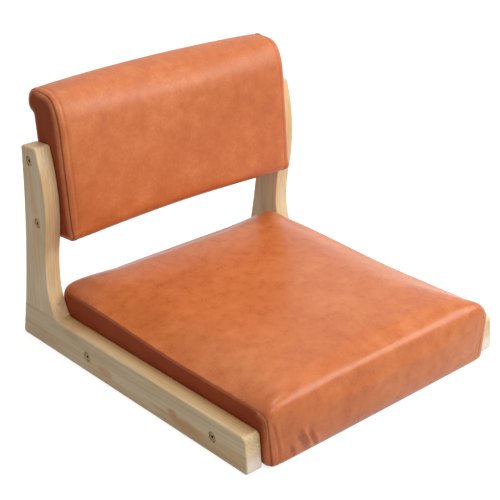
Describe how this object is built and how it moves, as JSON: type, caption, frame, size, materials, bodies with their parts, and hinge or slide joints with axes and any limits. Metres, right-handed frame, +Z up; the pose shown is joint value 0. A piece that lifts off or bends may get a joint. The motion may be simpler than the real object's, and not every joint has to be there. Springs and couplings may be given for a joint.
{
  "type": "floor chair",
  "caption": "Legless floor chair with solid wood side frames, an upholstered box seat bolted between the rails and a curved upholstered back rest bolted between the uprights.",
  "frame": {"origin": "centre of the footprint on the floor, midway between the seat's front and the heels of the rails", "axes": "+Z up, -Y the way the sitter faces, +X towards the side at the right of a viewer who stands in front"},
  "size_m": [0.48, 0.5303, 0.3985],
  "materials": {
    "side_wood": "satin lacquered pale hardwood",
    "frame_wood": "raw sawn softwood",
    "plywood": "raw plywood",
    "tan_leather": "satin mottled tan leather",
    "foam": "open-cell foam",
    "dust_cloth": "non-woven cloth",
    "bronze_bolt": "antique bronze plating",
    "zinc_insert": "zinc plating"
  },
  "bodies": {
    "root": {"left_upright": "side_wood", "right_upright": "side_wood", "left_rail": "side_wood", "right_rail": "side_wood", "left_dowels": "frame_wood", "right_dowels": "frame_wood", "left_upright_bolts": "bronze_bolt", "right_upright_bolts": "bronze_bolt", "left_rail_bolts": "bronze_bolt", "right_rail_bolts": "bronze_bolt", "seat_left_bar": "frame_wood", "seat_right_bar": "frame_wood", "seat_front_bar": "frame_wood", "seat_rear_bar": "frame_wood", "seat_panel": "plywood", "seat_foam": "foam", "seat_cover": "tan_leather", "seat_left_gusset": "tan_leather", "seat_right_gusset": "tan_leather", "seat_dust_cloth": "dust_cloth", "seat_insert_nuts": "zinc_insert", "back_panel": "plywood", "back_left_batten": "frame_wood", "back_right_batten": "frame_wood", "back_foam": "foam", "back_cover": "tan_leather", "back_left_gusset": "tan_leather", "back_right_gusset": "tan_leather", "back_insert_nuts": "zinc_insert"}
  },
  "joints": []
}
